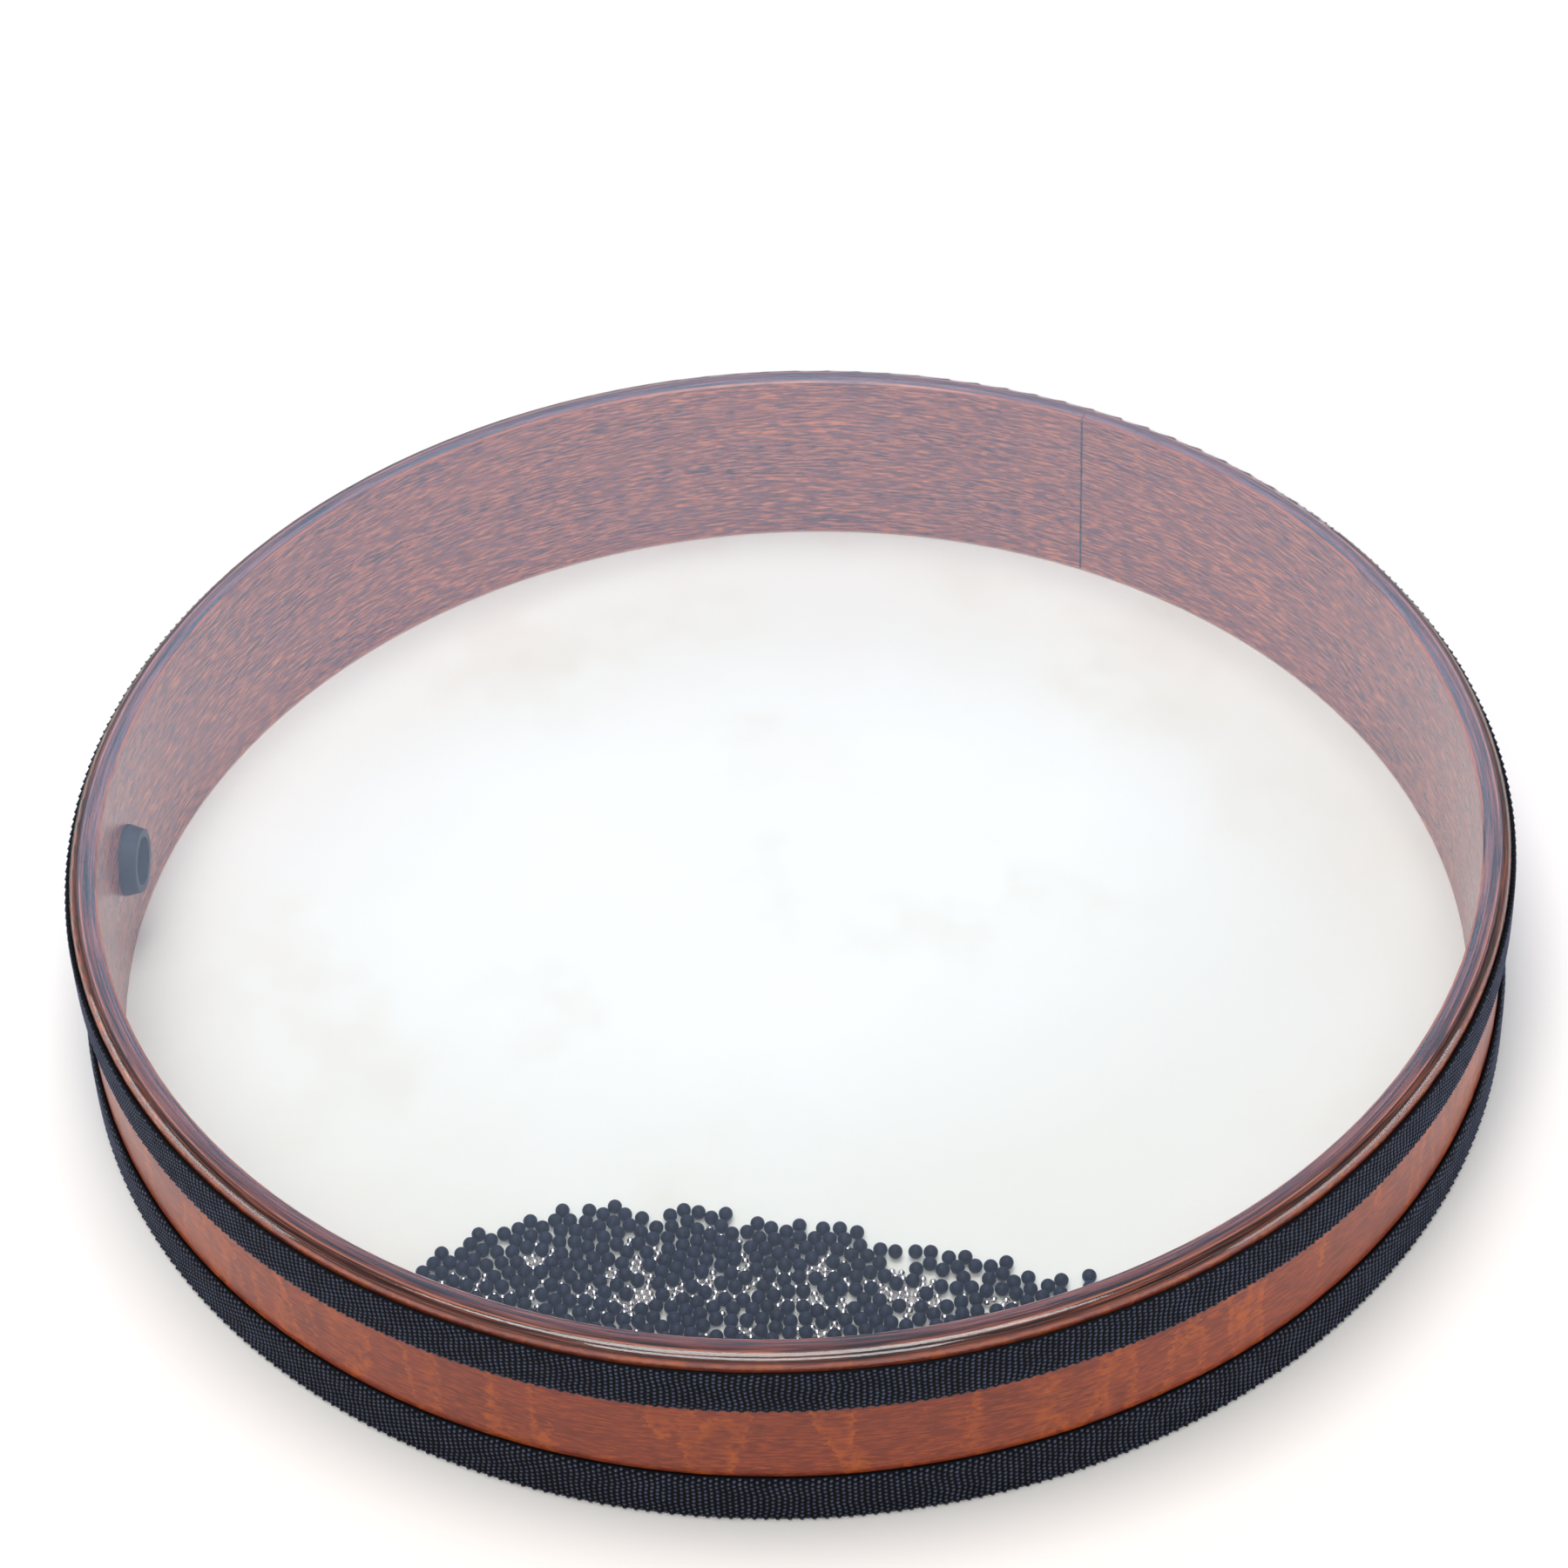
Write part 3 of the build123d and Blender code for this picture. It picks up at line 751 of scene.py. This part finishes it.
# %% One ball on each island
CUTS = 4  # squares along each edge of the cube
FACES_TO_BALL = 6 * CUTS ** 2
FULL_TURN = 6.28
rolled, size = node_tree("rolled_balls", {
    "Solids": "NodeSocketObject", "Diameter": FLOAT, "Seed": INT, "Finish": MATERIAL})
solids = add(rolled, "GeometryNodeObjectInfo", {"Object": size["Solids"]}).outputs["Geometry"]
solids = add(rolled, "GeometryNodeMergeByDistance", {"Geometry": solids, "Distance": WELD})
island = add(rolled, "GeometryNodeInputMeshIsland").outputs["Island Index"]
spot = add(rolled, "GeometryNodeInputPosition")
summed = add(rolled, "GeometryNodeAccumulateField", {"Value": spot, "Group ID": island},
             data_type="FLOAT_VECTOR").outputs["Total"]
counted = add(rolled, "GeometryNodeAccumulateField", {"Value": 1, "Group ID": island}, data_type="INT")
part_of_one = maths(rolled, "DIVIDE", 1.0, counted.outputs["Total"])
middle = scaled(rolled, summed, part_of_one)
first = add(rolled, "FunctionNodeCompare", {"A": counted.outputs["Leading"], "B": 1}, data_type="INT",
            operation="EQUAL")
spots = add(rolled, "GeometryNodeMeshToPoints", {"Mesh": solids, "Selection": first, "Position": middle})
# The ball: each side of the cube is bent by a tangent first, so that its squares come out nearly equal.
cube = add(rolled, "GeometryNodeMeshCube", {"Size": (2, 2, 2), "Vertices X": CUTS + 1, "Vertices Y": CUTS + 1,
                                            "Vertices Z": CUTS + 1})
even = scaled(rolled, add(rolled, "GeometryNodeInputPosition"), math.pi / 4)
even = vectors(rolled, "TANGENT", even)
even = vectors(rolled, "NORMALIZE", even)
radius = maths(rolled, "MULTIPLY", size["Diameter"], 0.5)
even = scaled(rolled, even, radius)
ball = add(rolled, "GeometryNodeSetPosition", {"Geometry": cube, "Position": even})
ball = add(rolled, "GeometryNodeMergeByDistance", {"Geometry": ball, "Distance": WELD})
tumble = add(rolled, "FunctionNodeRandomValue", {"Min": (0, 0, 0), "Max": (FULL_TURN, FULL_TURN, FULL_TURN),
                                                 "Seed": size["Seed"]}, data_type="FLOAT_VECTOR")
balls = add(rolled, "GeometryNodeInstanceOnPoints", {"Points": spots, "Instance": ball, "Rotation": tumble})
tint = add(rolled, "FunctionNodeRandomValue", {"Min": 0.0, "Max": 1.0, "Seed": size["Seed"]},
           data_type="FLOAT")
balls = add(rolled, "GeometryNodeStoreNamedAttribute", {"Geometry": balls, "Name": "tint", "Value": tint},
            data_type="FLOAT", domain="INSTANCE")
balls = add(rolled, "GeometryNodeRealizeInstances", {"Geometry": balls})
balls = add(rolled, "GeometryNodeSetShadeSmooth", {"Geometry": balls})
balls = add(rolled, "GeometryNodeSetMaterial", {"Geometry": balls, "Material": size["Finish"]})
add(rolled, "NodeGroupOutput", {"Geometry": balls})

# %% [markdown]
# The beads are tumbled plastic, dull and nearly black with a blue cast, and no two are quite the same
# shade. The shot is polished steel. Steel has no colour of its own under its reflections: it shows the
# room, bent round the ball, and the dark beads beside it.

# %% Bead plastic and shot steel
scuff_size, scuff_share, level_share = 1.2 * MM, 0.5, 0.66
plastic, tree = new_finish("acrylic_beads_tumbled")
tint = add(tree, "ShaderNodeAttribute", attribute_name="tint").outputs["Fac"]
place = add(tree, "ShaderNodeTexCoord").outputs["Object"]
scuff = mottled(tree, place, scuff_size, 2.0)
level = maths(tree, "MULTIPLY_ADD", scuff, scuff_share, tint)
level = maths(tree, "MULTIPLY", level, level_share)  # brings the sum of both back to about 1
tone = shaded(tree, level, (0.1, "#030a1a"), (0.9, "#081730"))
dull = mapped(tree, scuff, 0.0, 1.0, 0.38, 0.58)
principled(tree, {"Base Color": tone, "Roughness": dull, "IOR": 1.49, "Specular IOR Level": 0.2})

steel, tree = new_finish("steel_shot_polished")
tint = add(tree, "ShaderNodeAttribute", attribute_name="tint").outputs["Fac"]
tone = shaded(tree, tint, (0.0, "#e0dcda"), (1.0, "#f6f2f0"))
polish = mapped(tree, tint, 0.0, 1.0, 0.2, 0.32)
principled(tree, {"Base Color": tone, "Metallic": 1.0, "Roughness": polish})

# %% The filling
for name, piece_name, finish, slot, seed in (("black_beads", "tumbled_beads", plastic, "bead_plastic", 4),
                                             ("steel_shot", "polished_shot", steel, "shot_steel", 9)):
    low_corner, high_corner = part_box(name)
    pile = made_by(rolled, piece_name, {"Solids": nodes[name], "Diameter": high_corner.z - low_corner.z,
                                        "Seed": seed, "Finish": finish})
    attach(pile, "filling")
    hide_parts(name)
    print(f"{piece_name}: {len(pile.data.polygons) // FACES_TO_BALL} balls, {len(pile.data.polygons)} faces")

# %% [markdown]
# ## Filler plug
# The hole that the beads were poured through is closed by a moulded rubber plug. Rubber from a mould is
# matt and dark grey, with a faint bloom of powder that lightens it in patches.

# %% Rubber
bloom_size, pit_size = 6 * MM, 0.6 * MM
rubber, tree = new_finish("moulded_rubber_bloomed")
place = add(tree, "ShaderNodeTexCoord").outputs["Object"]
bloom = mottled(tree, place, bloom_size, 4.0, 0.65)
tone = shaded(tree, bloom, (0.3, "#0a0f15"), (0.7, "#161e27"))
pits = mottled(tree, place, pit_size, 2.0)
relief = add(tree, "ShaderNodeBump", {"Height": pits, "Strength": 0.2, "Distance": 0.08 * MM})
dull = mapped(tree, bloom, 0.0, 1.0, 0.5, 0.75)
principled(tree, {"Base Color": tone, "Roughness": dull, "Normal": relief, "IOR": 1.52,
                  "Specular IOR Level": 0.4})
wear("filler_plug", rubber)
